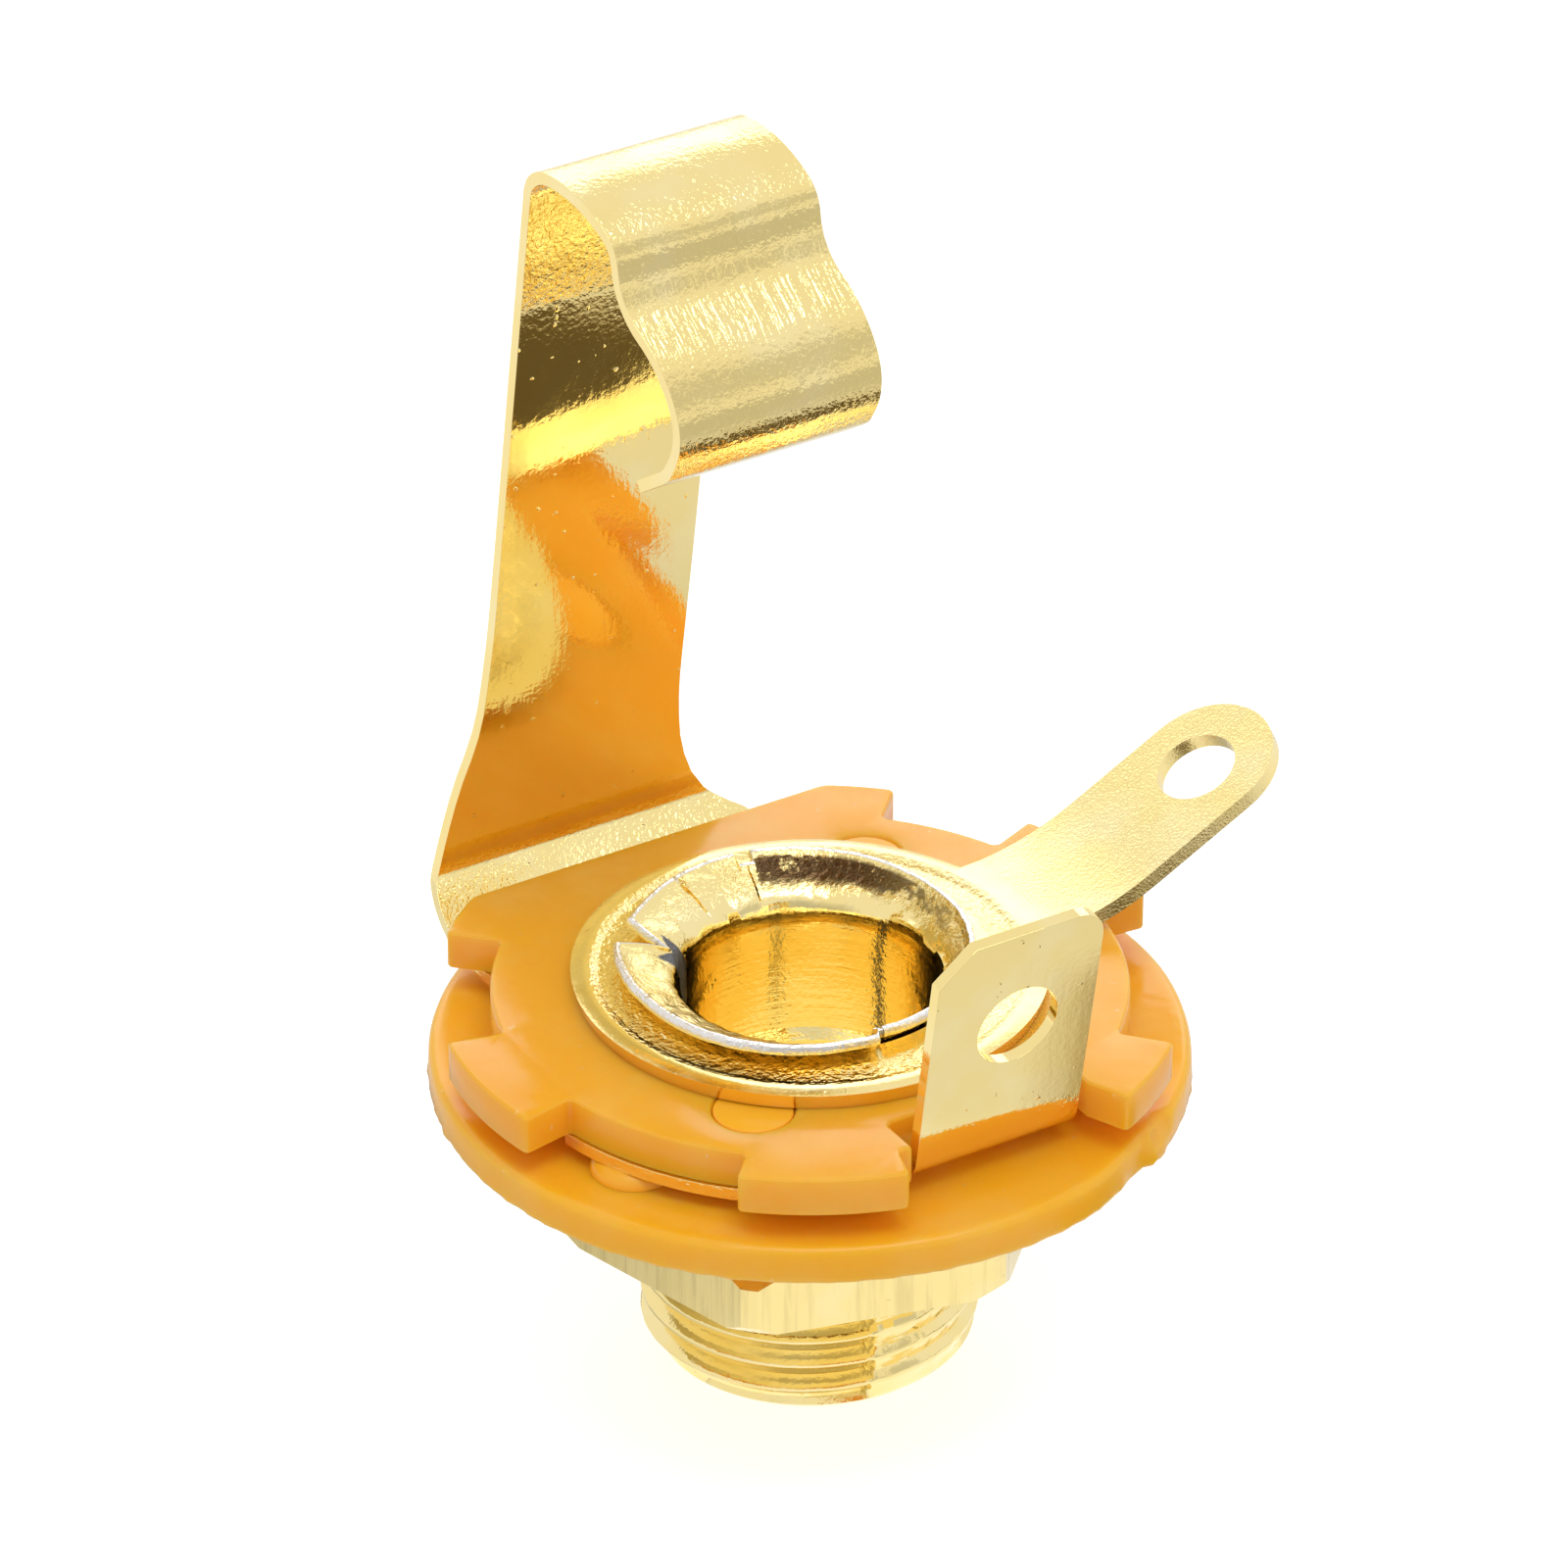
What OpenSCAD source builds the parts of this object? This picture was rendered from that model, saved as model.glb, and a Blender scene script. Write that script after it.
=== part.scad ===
// Open-frame 6.35 mm mono jack socket for panel mounting.
// The front face of the threaded bushing is z = 0 and the bore runs up the Z axis.
// The tip spring stands towards +Y, the tip solder tab towards -Y, the sleeve lug towards +X.

/* [Bushing] */
// Diameter of the plug bore
bore_d = 6.4; // [6.35:0.05:6.6]
// Major diameter of the bushing's thread
thread_d = 9.0; // [8.6:0.1:9.6]
// Length of thread in front of the shoulder
thread_len = 5.7; // [4.5:0.1:8]
// Chamfer at the thread's end
thread_chamfer = 0.45; // [0.2:0.05:0.6]
// Diameter of the shoulder that bears on the panel
shoulder_d = 12.0; // [11:0.1:14]
// Thickness of the shoulder
shoulder_t = 2.2; // [1.5:0.1:3]
// Diameter of the neck that carries the stack
neck_d = 8.2; // [7.8:0.1:8.4]
// Outer diameter of the flared lip
lip_d = 9.7; // [9.3:0.1:10.2]
// Height of the flared lip above the sleeve lug
lip_h = 0.6; // [0.4:0.05:0.8]
// Depth of the flare inside the bore, below the lip's top
flare_depth = 1.1; // [0.8:0.1:1.6]
// Width of the cracks in the lip
crack_w = 0.12; // [0.08:0.01:0.2]
// Direction of the torn notch in the lip, in degrees
notch_az = 138; // [130:1:150]
// Width of the torn notch in the lip
notch_w = 1.3; // [0.8:0.1:1.8]

/* [Nut] */
// Width across the flats of the nut
nut_af = 12.0; // [11:0.1:13]
// Height of the nut
nut_h = 1.7; // [1.4:0.1:2]
// How far the nut's corners are turned down from the full point
nut_corner_cut = 0.13; // [0.05:0.01:0.3]
// Radial clearance of the nut on the thread
nut_clearance = 0.05; // [0.03:0.01:0.08]
// Turn of the nut about the bore, in degrees
nut_az = -135; // [-150:1:-90]

/* [Lower disc] */
// Diameter of the lower insulating disc
disc_d = 20.0; // [19.5:0.1:22]
// Thickness of the disc at its rim
disc_t = 1.05; // [0.8:0.05:1.5]
// Rounding of the disc's rim
disc_round = 0.2; // [0.1:0.05:0.35]
// Height of the land that carries the tip contact
land_h = 0.35; // [0.2:0.05:0.6]
// Diameter of the land
land_d = 13.6; // [13:0.1:14.4]
// Diameter of the hub that keeps the tip contact off the bushing
hub_d = 9.6; // [9.4:0.1:9.8]
// Diameter of the two pins through the stack
pin_d = 2.1; // [1.8:0.1:2.2]
// Distance of the pins from the axis
pin_r = 6.3; // [6.2:0.05:6.4]
// Direction of the first pin, in degrees
pin_az = -135; // [-140:1:-130]
// Depth of the pins' ends below the wafer's top
pin_sink = 0.15; // [0.1:0.05:0.4]
// Diameter of the rest button beside the tip contact
button_d = 2.3; // [1.8:0.1:2.6]
// Distance of the rest button from the axis
button_r = 7.6; // [7.4:0.1:8]
// Direction of the rest button, in degrees
button_az = -158; // [-162:1:-150]
// Length of the moulding gate's scar on the rim
gate_w = 1.2; // [0.8:0.1:2]
// Depth of the gate's scar into the rim
gate_depth = 0.35; // [0.2:0.05:0.5]
// Direction of the gate's scar, in degrees
gate_az = -54; // [-60:1:-45]

/* [Tip contact] */
// Thickness of the contact's sheet
sheet_t = 0.35; // [0.3:0.01:0.45]
// How far the contact's clamped ring stays inside the wafer's root
ring_inset = 0.55; // [0.4:0.05:0.7]
// Gap between the hub and the contact's hole
hub_gap = 0.15; // [0.1:0.05:0.3]
// Left side of the spring's root, along X
root_left = -6.2; // [-6.6:0.05:-6]
// Right side of the spring's root, along X
root_right = 3.35; // [2.9:0.05:3.8]
// Distance of the arm's foot from the axis, at its inner face
arm_y = 8.8; // [8.7:0.05:9.1]
// Inner radius of the bend at the arm's foot
foot_r = 1.6; // [1.4:0.1:1.9]
// Lean of the arm towards the bore, in degrees
arm_lean = 2.0; // [0:0.5:3]
// Width of the spring arm and of its catch
arm_w = 6.0; // [5:0.1:6.4]
// Side lean of the arm's outline, in degrees
arm_skew = 4.5; // [0:0.5:6]
// Middle of the strip along X where it turns over at the top
catch_x = -0.4; // [-0.8:0.1:0.4]
// Side lean of the catch as it comes back over the bore, in degrees
catch_skew = 6; // [0:0.5:8]
// Height of the straight arm's upper end above the front face
arm_top = 30.9; // [29.5:0.1:32.5]
// Radius of the flare on the arm's left side
flare_left_r = 12.0; // [10:0.5:14]
// Radius of the flare on the arm's right side
flare_right_r = 5.6; // [4.8:0.2:6.2]
// Height where the left flare meets the strip
flare_left_z = 16.2; // [15.4:0.2:18]
// Height where the right flare meets the strip
flare_right_z = 14.7; // [14:0.1:16]
// Radius of the small bend at the arm's upper end
top_r = 1.0; // [0.6:0.05:1.2]
// Radius of the catch's flat crown
crown_r = 3.8; // [3.4:0.1:4.4]
// Radius of the bend that turns the catch down
nose_r = 0.9; // [0.7:0.1:1.2]
// Radius of the groove in the catch
groove_r = 2.8; // [2.4:0.1:3.2]
// Radius of the bulge that holds the plug's tip
bulge_r = 1.75; // [1.5:0.05:2]
// Straight run between the bulge and the toe
tail_len = 0.35; // [0:0.05:0.8]
// Radius of the bend into the catch's toe
toe_r = 0.4; // [0.3:0.05:0.6]
// Length of the catch's toe
toe_len = 1.5; // [0.8:0.1:1.8]
// Left side of the tip solder tab, along X
tab_left = -1.65; // [-1.9:0.05:-1.3]
// Right side of the tip solder tab, along X
tab_right = 3.25; // [2.9:0.05:3.5]
// Distance of the tab's foot from the axis, at the sheet's middle
tab_y = 7.65; // [7.5:0.05:7.8]
// Radius of the bend at the tab's foot, at the sheet's middle
tab_bend_r = 0.6; // [0.5:0.05:0.8]
// Outward lean of the tab, in degrees
tab_lean = 10; // [0:1:12]
// Height of the tab's top above the front face
tab_top = 16.75; // [16:0.05:18]
// Cut across the tab's left corner
tab_chamfer = 1.0; // [0.6:0.1:1.2]
// Rounding of the tab's right corner
tab_round = 0.85; // [0.4:0.05:1]
// Diameter of the hole in the tab
tab_hole_d = 2.4; // [2:0.1:2.8]
// Height of the tab's hole above the front face
tab_hole_z = 13.7; // [13.2:0.1:14.2]
// Position of the tab's hole along X
tab_hole_x = 0.95; // [0.6:0.05:1.2]

/* [Upper wafer] */
// Thickness of the upper insulating wafer
wafer_t = 1.1; // [0.9:0.05:1.4]
// How far the wafer's teeth stay inside the lower disc's rim
wafer_inset = 0.15; // [0.1:0.05:0.4]
// Depth of the gaps between the wafer's teeth
tooth_depth = 1.5; // [1.2:0.1:1.8]
// Distance of the wafer's straight edge from the axis
wafer_flat_y = 8.2; // [8:0.05:8.3]
// Height of the bevel under the wafer's straight edge, which clears the arm's bend
wafer_bevel = 0.45; // [0.4:0.05:0.6]
// Gap between the tab and its notch in the wafer
tab_notch_gap = 0.25; // [0.15:0.05:0.4]
// Direction of the right side tooth, in degrees
side_tooth_az = 8; // [4:1:12]
// Width of the right side tooth, in degrees
side_tooth_w = 28; // [20:1:32]
// Direction of the left side tooth, in degrees
far_tooth_az = 178.5; // [174:0.5:184]
// Width of the left side tooth, in degrees
far_tooth_w = 25; // [18:1:30]
// Direction of the small front tooth, in degrees
small_tooth_az = -57.5; // [-60:0.5:-54]
// Width of the small front tooth, in degrees
small_tooth_w = 17; // [12:1:20]
// Direction of the large front tooth, in degrees
large_tooth_az = -119.5; // [-124:0.5:-116]
// Width of the large front tooth, in degrees
large_tooth_w = 27; // [20:1:30]
// Inner ends of the two corner teeth, in degrees from the X axis
corner_tooth_az = 45; // [42:1:49]

/* [Sleeve lug] */
// Thickness of the sleeve lug's sheet
lug_t = 0.45; // [0.35:0.05:0.6]
// How far the lug's ring reaches past the bushing's shoulder
lug_overhang = 0.2; // [0:0.05:0.5]
// Depth of the groove pressed into the ring
ring_groove = 0.1; // [0.05:0.01:0.15]
// Width of the lug
lug_w = 4.0; // [3.6:0.1:5]
// Distance of the lug's rounded end centre from the axis, along X
lug_end_x = 12.3; // [11:0.1:13]
// Distance of the lug's hole from the axis, along X
lug_hole_x = 12.1; // [11:0.1:12.6]
// Diameter of the lug's hole
lug_hole_d = 2.2; // [1.8:0.1:2.6]
// Upward bend of the lug, in degrees
lug_rise = 27; // [15:1:35]
// Radius of the lug's long bend, at the sheet's middle
lug_bend_r = 8.0; // [5:0.5:9]

/* [Fits] */
// Radial clearance of the stacked parts on the neck and the pins
stack_gap = 0.05; // [0.03:0.01:0.1]

/* [Hidden] */
$fn = 96;
// Angle between the flat strips that make up a bend of the sheet
bend_step = 4;

z_disc = thread_len + shoulder_t;
z_disc_top = z_disc + disc_t;
z_contact = z_disc_top + land_h;
z_wafer = z_contact + sheet_t;
z_lug = z_wafer + wafer_t;
z_lug_top = z_lug + lug_t;
z_lip = z_lug_top + lip_h;

wafer_d = disc_d - 2 * wafer_inset;
wafer_root_d = wafer_d - 2 * tooth_depth;
ring_d = wafer_root_d - 2 * ring_inset;
lug_ring_d = shoulder_d + 2 * lug_overhang;

bore_r = bore_d / 2;
neck_r = neck_d / 2;
stack_hole_r = neck_r + stack_gap;
nut_z = thread_len - nut_h;
nut_point_r = nut_af / sqrt(3) - nut_corner_cut;

// The catch's turns, in degrees: over the top and the crown, down the nose, out of the groove, round the bulge, into the toe
top_turn = 83;
crown_turn = 39;
nose_turn = 53;
groove_turn = 60;
bulge_turn = 92;
toe_turn = 36;

mid_contact = z_contact + sheet_t / 2;
foot_mid_r = foot_r + sheet_t / 2;
arm_turn = 90 + arm_lean;
root_y = arm_y - foot_r;
root_lap = 1.0;
arm_foot_z = mid_contact + foot_mid_r * (1 - cos(arm_turn));
arm_path = [[root_lap], [foot_mid_r, arm_turn], [(arm_top - arm_foot_z) / cos(arm_lean)],
    [top_r, top_turn], [crown_r, crown_turn], [nose_r, nose_turn], [groove_r, -groove_turn],
    [bulge_r, bulge_turn], [tail_len], [toe_r, toe_turn], [toe_len]];

arm_top_y = root_y + foot_mid_r * sin(arm_turn) - (arm_top - arm_foot_z) * tan(arm_lean);

tab_turn = 90 - tab_lean;
tab_start_y = tab_y - tab_bend_r;
tab_foot_z = mid_contact + tab_bend_r * (1 - cos(tab_turn));
tab_foot_y = tab_start_y + tab_bend_r * sin(tab_turn);
tab_path = [[root_lap], [tab_bend_r, tab_turn], [(tab_top - tab_foot_z + 1) / cos(tab_lean)]];
tab_hole_y = tab_foot_y + (tab_hole_z - tab_foot_z) * tan(tab_lean);

mid_lug = z_lug + lug_t / 2;
lug_start_x = lug_ring_d / 2 - lug_t;
lug_bend_x = lug_start_x + lug_bend_r * sin(lug_rise);
lug_bend_z = mid_lug + lug_bend_r * (1 - cos(lug_rise));
lug_path = [[lug_start_x - neck_r - lug_t], [lug_bend_r, lug_rise],
    [(lug_end_x - lug_bend_x) / cos(lug_rise) + lug_w]];
function lug_z(x) = lug_bend_z + (x - lug_bend_x) * tan(lug_rise);

// Edges of the strip at height z
function strip_mid(z) = catch_x - (arm_top - z) * tan(arm_skew);
strip_half = arm_w / 2 / cos(arm_skew);

// A sector from the +X axis through angle a, reaching past radius r
module sector(r, a) {
    k = r / cos(a / 4);
    polygon([[0, 0], [k, 0], [k * cos(a / 2), k * sin(a / 2)], [k * cos(a), k * sin(a)]]);
}

// Points [x, y, heading] along a bent strip's middle: [length] runs straight on, [radius, angle] bends
function walk(path, x = 0, y = 0, h = 0, i = 0) =
    i == len(path) ? [[x, y, h]] :
    let (step = path[i])
    len(step) == 1 ?
        concat([[x, y, h]], walk(path, x + step[0] * cos(h), y + step[0] * sin(h), h, i + 1)) :
        let (a = step[1], r = step[0] * sign(a), n = ceil(abs(a) / bend_step))
        concat(
            [for (k = [0:n - 1]) let (g = h + a * k / n)
                [x + r * (sin(g) - sin(h)), y - r * (cos(g) - cos(h)), g]],
            walk(path, x + r * (sin(h + a) - sin(h)), y - r * (cos(h + a) - cos(h)), h + a, i + 1));

// One bent strip of sheet of thickness t, seen from its edge
module ribbon(path, t) {
    mid = walk(path);
    last = len(mid) - 1;
    polygon(concat(
        [for (p = mid) [p[0] + t / 2 * sin(p[2]), p[1] - t / 2 * cos(p[2])]],
        [for (k = [last:-1:0]) let (p = mid[k]) [p[0] - t / 2 * sin(p[2]), p[1] + t / 2 * cos(p[2])]]));
}

// A narrow crack through the bushing's lip
module lip_slit(az, w, depth) {
    rotate(az) translate([neck_r - 0.6, -w / 2, z_lip - depth]) cube([lip_d, w, depth + 1]);
}

module bushing() {
    lip_r = lip_d / 2;
    thread_r = thread_d / 2;
    color("gold") difference() {
        rotate_extrude() polygon([
            [bore_r + 0.3, 0], [thread_r - thread_chamfer, 0], [thread_r, thread_chamfer],
            [thread_r, thread_len], [shoulder_d / 2 - 0.2, thread_len], [shoulder_d / 2, thread_len + 0.2],
            [shoulder_d / 2, z_disc - 0.2], [shoulder_d / 2 - 0.2, z_disc], [neck_r, z_disc],
            [neck_r, z_lug_top], [lip_r - 0.15, z_lug_top], [lip_r, z_lug_top + lip_h * 0.35],
            [lip_r, z_lip - lip_h * 0.25], [lip_r - 0.15, z_lip], [lip_r - 0.35, z_lip],
            [neck_r - 0.35, z_lip - lip_h * 0.7], [bore_r + 0.15, z_lip - flare_depth * 0.8],
            [bore_r, z_lip - flare_depth - 0.2], [bore_r, 0.3]]);
        // the torn notch, with a step where the torn piece broke away
        rotate(notch_az) translate([neck_r - 0.45, -notch_w / 2, z_lip - lip_h * 0.8])
            cube([lip_d, notch_w, lip_h * 2]);
        rotate(notch_az - 12) translate([neck_r + 0.3, -notch_w / 2, z_lip - lip_h * 0.45])
            cube([lip_d, notch_w, lip_h]);
        lip_slit(notch_az - 30, crack_w, lip_h * 0.9);
        lip_slit(notch_az - 56, crack_w * 1.5, lip_h * 0.95);
        lip_slit(-92, crack_w, lip_h * 0.8);
    }
}

module hex_nut() {
    hole_r = thread_d / 2 + nut_clearance;
    color("gold") translate([0, 0, nut_z]) difference() {
        intersection() {
            rotate(nut_az) cylinder(r = nut_af / sqrt(3), h = nut_h, $fn = 6);
            rotate_extrude() polygon([[0, 0], [nut_point_r - 0.3, 0], [nut_point_r, 0.2],
                [nut_point_r, nut_h - 0.2], [nut_point_r - 0.3, nut_h], [0, nut_h]]);
        }
        translate([0, 0, -1]) cylinder(r = hole_r, h = nut_h + 2);
        rotate_extrude() polygon([[0, -0.1], [hole_r + 0.3, -0.1], [hole_r, 0.2], [0, 0.2]]);
        translate([0, 0, nut_h - 0.2])
            rotate_extrude() polygon([[0, 0], [hole_r, 0], [hole_r + 0.3, 0.3], [0, 0.3]]);
    }
}

module pins(r, z0, z1) {
    for (a = [pin_az, pin_az + 180])
        rotate(a) translate([pin_r, 0, z0]) cylinder(r = r, h = z1 - z0, $fn = 48);
}

module lower_disc() {
    disc_r = disc_d / 2;
    color("orange") {
        difference() {
            union() {
                rotate_extrude() polygon([
                    [stack_hole_r, z_disc], [disc_r - disc_round, z_disc], [disc_r, z_disc + disc_round],
                    [disc_r, z_disc_top - disc_round], [disc_r - disc_round, z_disc_top],
                    [land_d / 2, z_disc_top], [land_d / 2, z_contact], [hub_d / 2, z_contact],
                    [hub_d / 2, z_wafer], [stack_hole_r, z_wafer]]);
                pins(pin_d / 2, z_disc_top, z_lug - pin_sink);
                rotate(button_az) translate([button_r, 0, z_disc_top - 0.1])
                    cylinder(d = button_d, h = land_h + 0.1, $fn = 48);
            }
            rotate(gate_az) translate([disc_r - gate_depth, -gate_w / 2, z_disc_top - disc_t * 0.6])
                cube([2, gate_w, disc_t]);
        }
    }
}

// The arm's outline seen along Y: the leaning strip and the flares at its foot
module arm_outline() {
    z0 = z_contact - 1;
    z1 = arm_top + 4;
    polygon([[strip_mid(z0) - strip_half, z0], [strip_mid(z0) + strip_half, z0],
        [strip_mid(arm_top) + strip_half, arm_top], [strip_mid(arm_top) + strip_half, z1],
        [strip_mid(arm_top) - strip_half, z1], [strip_mid(arm_top) - strip_half, arm_top]]);
    difference() {
        polygon([[root_left, z0], [strip_mid(z0), z0], [strip_mid(flare_left_z), flare_left_z],
            [strip_mid(flare_left_z) - strip_half, flare_left_z], [root_left, flare_left_z]]);
        translate([strip_mid(flare_left_z) - strip_half - flare_left_r * cos(arm_skew),
            flare_left_z + flare_left_r * sin(arm_skew)]) circle(flare_left_r, $fn = 180);
    }
    difference() {
        polygon([[root_right, z0], [strip_mid(z0), z0], [strip_mid(flare_right_z), flare_right_z],
            [strip_mid(flare_right_z) + strip_half, flare_right_z], [root_right, flare_right_z]]);
        translate([strip_mid(flare_right_z) + strip_half + flare_right_r * cos(arm_skew),
            flare_right_z - flare_right_r * sin(arm_skew)]) circle(flare_right_r, $fn = 180);
    }
}

// The catch's outline seen from above: the strip leans on to the right as it comes back over the bore
module catch_outline() {
    half = arm_w / 2 / cos(catch_skew);
    far_x = catch_x + arm_top_y * tan(catch_skew);
    polygon([[catch_x - half, arm_top_y], [far_x - half, 0], [far_x + half, 0], [catch_x + half, arm_top_y]]);
}

module spring_arm() {
    intersection() {
        translate([root_left - 1, root_y - root_lap, mid_contact]) rotate([90, 0, 90])
            linear_extrude(root_right - root_left + 2) ribbon(arm_path, sheet_t);
        union() {
            intersection() {
                translate([0, 12, 0]) rotate([90, 0, 0]) linear_extrude(16) arm_outline();
                union() {
                    translate([-20, 0, 0]) cube([40, 20, arm_top - 8]);
                    translate([-20, arm_top_y - 0.4, 0]) cube([40, 20, 60]);
                }
            }
            translate([0, 0, arm_top - 10]) linear_extrude(20) catch_outline();
        }
    }
}

module tab_outline() {
    difference() {
        translate([tab_left, z_contact - 1])
            square([tab_right - tab_left, tab_top - z_contact + 1]);
        translate([tab_left, tab_top]) rotate(-45) square(tab_chamfer * sqrt(2), center = true);
        translate([tab_right - tab_round, tab_top - tab_round]) difference() {
            square(2 * tab_round);
            circle(tab_round, $fn = 48);
        }
    }
}

module solder_tab() {
    difference() {
        intersection() {
            translate([tab_left - 1, root_lap - tab_start_y, mid_contact]) mirror([0, 1, 0]) rotate([90, 0, 90])
                linear_extrude(tab_right - tab_left + 2) ribbon(tab_path, sheet_t);
            translate([0, 2, 0]) rotate([90, 0, 0]) linear_extrude(16) tab_outline();
        }
        translate([tab_hole_x, -tab_hole_y, tab_hole_z]) rotate([90 + tab_lean, 0, 0])
            cylinder(d = tab_hole_d, h = 4, center = true, $fn = 48);
    }
}

module tip_contact() {
    color("gold") {
        difference() {
            union() {
                difference() {
                    translate([0, 0, z_contact]) cylinder(d = ring_d, h = sheet_t);
                    translate([-ring_d, root_y, z_contact - 1]) cube([2 * ring_d, ring_d, sheet_t + 2]);
                    translate([tab_left - tab_notch_gap, -ring_d - tab_start_y, z_contact - 1])
                        cube([tab_right - tab_left + 2 * tab_notch_gap, ring_d, sheet_t + 2]);
                }
                translate([root_left, 0, z_contact]) cube([root_right - root_left, root_y, sheet_t]);
                translate([tab_left, -tab_start_y, z_contact]) cube([tab_right - tab_left, tab_start_y, sheet_t]);
            }
            translate([0, 0, z_contact - 1]) cylinder(r = hub_d / 2 + hub_gap, h = sheet_t + 2);
            pins(pin_d / 2 + stack_gap, z_contact - 1, z_wafer + 1);
        }
        spring_arm();
        solder_tab();
    }
}

// One tooth of the wafer: a block that reaches the wafer's full radius, w degrees wide about az
module tooth(az, w) {
    rotate(az - w / 2) sector(wafer_d / 2 + 0.5, w);
}

module upper_wafer() {
    color("orange") translate([0, 0, z_wafer]) difference() {
        linear_extrude(wafer_t) difference() {
            union() {
                circle(d = wafer_root_d);
                intersection() {
                    circle(d = wafer_d);
                    union() {
                        tooth(side_tooth_az, side_tooth_w);
                        tooth(far_tooth_az, far_tooth_w);
                        tooth(small_tooth_az, small_tooth_w);
                        tooth(large_tooth_az, large_tooth_w);
                        tooth(90, 180 - 2 * corner_tooth_az);
                    }
                }
            }
            translate([-wafer_d, wafer_flat_y]) square([2 * wafer_d, wafer_d]);
            translate([tab_left - tab_notch_gap, -wafer_d - tab_start_y + tab_notch_gap])
                square([tab_right - tab_left + 2 * tab_notch_gap, wafer_d]);
        }
        translate([0, 0, -1]) cylinder(r = stack_hole_r, h = wafer_t + 2);
        translate([0, 0, -z_wafer]) pins(pin_d / 2 + stack_gap, z_wafer - 1, z_lug + 1);
        translate([-wafer_d, 0, 0]) rotate([90, 0, 90]) linear_extrude(2 * wafer_d)
            polygon([[root_y - 0.05, -0.1], [root_y - 0.05, 0], [wafer_flat_y, wafer_bevel],
                [wafer_flat_y + 1, wafer_bevel], [wafer_flat_y + 1, -0.1]]);
    }
}

// What the lug's sheet is cut to: straight sides and an end rounded square to the sheet
module lug_outline() {
    translate([0, -lug_w / 2, 0]) cube([lug_end_x, lug_w, 2 * lug_z(lug_end_x)]);
    translate([lug_end_x, 0, lug_z(lug_end_x)]) rotate([0, -lug_rise, 0])
        cylinder(d = lug_w, h = 6, center = true);
}

module sleeve_lug() {
    ring_r = lug_ring_d / 2;
    color("gold") difference() {
        union() {
            rotate_extrude() polygon([
                [stack_hole_r, z_lug], [ring_r - 0.1, z_lug], [ring_r, z_lug + 0.12],
                [ring_r, z_lug_top - 0.15], [ring_r - 0.15, z_lug_top], [ring_r - 0.4, z_lug_top],
                [ring_r - 0.6, z_lug_top - ring_groove], [lip_d / 2 + 0.2, z_lug_top - ring_groove],
                [lip_d / 2 + 0.05, z_lug_top], [stack_hole_r, z_lug_top]]);
            intersection() {
                translate([neck_r + lug_t, lug_w, mid_lug]) rotate([90, 0, 0])
                    linear_extrude(2 * lug_w) ribbon(lug_path, lug_t);
                lug_outline();
                difference() {
                    translate([-20, -20, 0]) cube([60, 40, 40]);
                    cylinder(r = ring_r - 0.5, h = 40);
                }
            }
        }
        translate([lug_hole_x, 0, lug_z(lug_hole_x)]) rotate([0, -lug_rise, 0])
            cylinder(d = lug_hole_d, h = 4, center = true, $fn = 48);
    }
}

bushing();
hex_nut();
lower_disc();
tip_contact();
upper_wafer();
sleeve_lug();
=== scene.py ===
"""Looks of an open-frame 6.35 mm mono jack socket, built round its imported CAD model.

Shapes are worked out in millimetres in the part's own frame and brought to metres at the end.
"""
import math

import bmesh
import bpy
from mathutils import Matrix, Vector, noise


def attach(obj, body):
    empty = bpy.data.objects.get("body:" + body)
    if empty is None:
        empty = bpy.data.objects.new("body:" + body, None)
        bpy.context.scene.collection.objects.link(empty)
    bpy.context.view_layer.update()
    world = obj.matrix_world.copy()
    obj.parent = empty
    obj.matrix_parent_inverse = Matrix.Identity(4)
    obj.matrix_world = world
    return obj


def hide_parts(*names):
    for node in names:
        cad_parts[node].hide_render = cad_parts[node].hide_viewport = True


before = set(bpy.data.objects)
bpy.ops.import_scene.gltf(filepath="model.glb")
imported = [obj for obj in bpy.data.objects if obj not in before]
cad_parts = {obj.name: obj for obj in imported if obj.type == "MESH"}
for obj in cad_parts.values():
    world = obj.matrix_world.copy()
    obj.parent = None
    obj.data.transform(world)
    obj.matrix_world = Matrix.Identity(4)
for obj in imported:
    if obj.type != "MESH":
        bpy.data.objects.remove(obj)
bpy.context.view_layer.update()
scene = bpy.context.scene

MM = 0.001
BORE_R = 3.2
THREAD_R = 4.5
THREAD_ROOT_R = 4.06
PITCH = 0.75
SHOULDER_Z = 5.7
DISC_Z = 7.9
CONTACT_Z = 9.3
WAFER_Z = 9.65
LUG_Z = 10.75
LUG_TOP_Z = 11.2
SHEET = 0.35
PIN_TURNS = (-135, 45)
PIN_FROM_AXIS = 6.3


# Camera


def aim_camera():
    data = bpy.data.cameras.new("camera")
    data.lens = 225
    data.sensor_width = 36
    data.clip_start = 0.01
    camera = bpy.data.objects.new("camera", data)
    scene.collection.objects.link(camera)
    place = Vector((-0.11326, -0.18350, 0.14811))
    target = Vector((0.00146, 0.00369, 0.01434))
    camera.location = place
    camera.rotation_euler = (target - place).to_track_quat("-Z", "Y").to_euler()
    scene.camera = camera


# Small helpers for shaping


def spot(radius, turn, height):
    """A point by its distance from the bore's axis, its direction in degrees and its height."""
    a = math.radians(turn)
    return Vector((radius * math.cos(a), radius * math.sin(a), height))


def polar(point):
    return math.hypot(point.x, point.y), math.degrees(math.atan2(point.y, point.x))


def blend_between(low, high, value):
    """0 below low, 1 above high, smooth between."""
    t = min(1.0, max(0.0, (value - low) / (high - low)))
    return t * t * (3 - 2 * t)


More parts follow.
